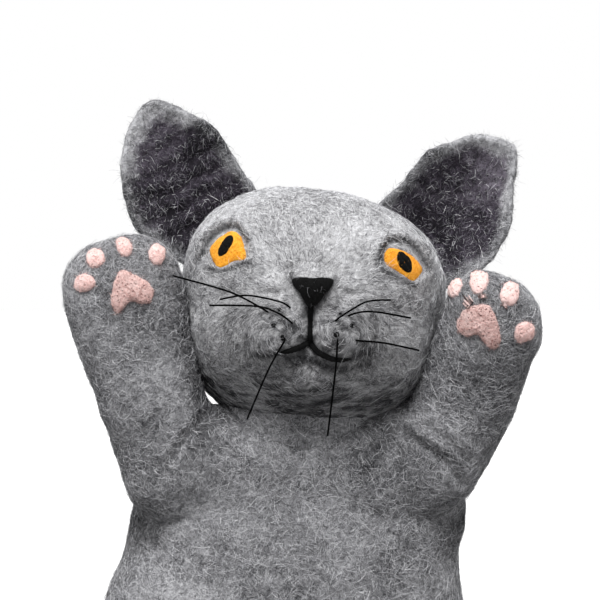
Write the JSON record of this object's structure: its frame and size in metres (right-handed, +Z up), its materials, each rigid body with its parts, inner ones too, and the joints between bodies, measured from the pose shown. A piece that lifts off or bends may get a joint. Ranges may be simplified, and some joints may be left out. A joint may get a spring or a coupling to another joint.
{
  "type": "cat glove puppet",
  "caption": "Felted grey wool cat glove puppet with raised arms, pink felt paw pads, cupped ears, amber felt eyes and black thread whiskers.",
  "frame": {"origin": "on the surface the puppet stands on, under the middle of its overall box", "axes": "+Z up from the hem to the ears, -Y the way the face looks, +X to the puppet's own left, which is the picture's right"},
  "size_m": [0.1992, 0.1099, 0.2755],
  "materials": {
    "grey_felt": "matte",
    "ear_felt": "matte",
    "pad_felt": "matte",
    "toe_felt": "matte",
    "amber_felt": "matte",
    "black_felt": "matte",
    "black_thread": "satin",
    "wool_stuffing": "matte"
  },
  "bodies": {
    "skirt": {"skirt": "grey_felt"},
    "torso": {"torso": "grey_felt"},
    "neck": {"neck_collar": "grey_felt"},
    "head": {"head_shell": "grey_felt", "head_stuffing": "wool_stuffing", "finger_tube": "grey_felt", "left_ear": "grey_felt", "left_ear_lining": "ear_felt", "right_ear": "grey_felt", "right_ear_lining": "ear_felt", "left_muzzle_pad": "grey_felt", "right_muzzle_pad": "grey_felt", "chin_pad": "grey_felt", "nose": "black_felt", "left_eye": "amber_felt", "left_pupil": "black_felt", "right_eye": "amber_felt", "right_pupil": "black_felt", "philtrum": "black_thread", "left_mouth_line": "black_thread", "right_mouth_line": "black_thread", "left_whisker_spot_1": "black_felt", "left_whisker_spot_2": "black_felt", "left_whisker_spot_3": "black_felt", "right_whisker_spot_1": "black_felt", "right_whisker_spot_2": "black_felt", "right_whisker_spot_3": "black_felt", "left_whisker_1": "black_thread", "left_whisker_2": "black_thread", "left_whisker_3": "black_thread", "left_whisker_4": "black_thread", "right_whisker_1": "black_thread", "right_whisker_2": "black_thread", "right_whisker_3": "black_thread", "right_whisker_4": "black_thread"},
    "left_upper_arm": {"left_upper_arm": "grey_felt"},
    "left_forearm": {"left_forearm": "grey_felt", "left_palm_pad": "pad_felt", "left_toe_pad_1": "toe_felt", "left_toe_pad_2": "toe_felt", "left_toe_pad_3": "toe_felt", "left_toe_pad_4": "toe_felt"},
    "right_upper_arm": {"right_upper_arm": "grey_felt"},
    "right_forearm": {"right_forearm": "grey_felt", "right_palm_pad": "pad_felt", "right_toe_pad_1": "toe_felt", "right_toe_pad_2": "toe_felt", "right_toe_pad_3": "toe_felt", "right_toe_pad_4": "toe_felt"}
  },
  "joints": [
    {"name": "waist_bow", "type": "hinge", "parent": "skirt", "child": "torso", "pos_m": [-0.0045, 0.0032, 0.092], "axis": [1, 0, 0], "range_deg": [-12, 20]},
    {"name": "neck_turn", "type": "hinge", "parent": "torso", "child": "neck", "pos_m": [0.0014, 0.0032, 0.152], "axis": [0, 0, 1], "range_deg": [-15, 15], "deforming": ["left_whisker_1", "left_whisker_2", "left_whisker_3", "left_whisker_4", "right_whisker_1", "right_whisker_2", "right_whisker_3", "right_whisker_4"]},
    {"name": "head_nod", "type": "hinge", "parent": "neck", "child": "head", "pos_m": [0.0014, 0.0032, 0.152], "axis": [1, 0, 0], "range_deg": [-8, 12], "deforming": ["left_whisker_1", "left_whisker_2", "left_whisker_3", "left_whisker_4", "right_whisker_1", "right_whisker_2", "right_whisker_3", "right_whisker_4"]},
    {"name": "left_arm_spread", "type": "hinge", "parent": "torso", "child": "left_upper_arm", "pos_m": [-0.05479, -0.0118, 0.122], "axis": [0, -1, 0], "range_deg": [0, 38]},
    {"name": "left_arm_fold", "type": "hinge", "parent": "left_upper_arm", "child": "left_forearm", "pos_m": [-0.06313, -0.0118, 0.15186], "axis": [0.9632, 0, 0.2689], "range_deg": [-12, 48], "deforming": ["left_whisker_1", "left_whisker_2", "left_whisker_3"]},
    {"name": "right_arm_spread", "type": "hinge", "parent": "torso", "child": "right_upper_arm", "pos_m": [0.0558, -0.0118, 0.122], "axis": [0, 1, 0], "range_deg": [0, 38]},
    {"name": "right_arm_fold", "type": "hinge", "parent": "right_upper_arm", "child": "right_forearm", "pos_m": [0.06671, -0.0118, 0.15102], "axis": [0.9361, 0, -0.3518], "range_deg": [-20, 34], "deforming": ["right_whisker_1", "right_whisker_2", "right_whisker_3"]}
  ]
}
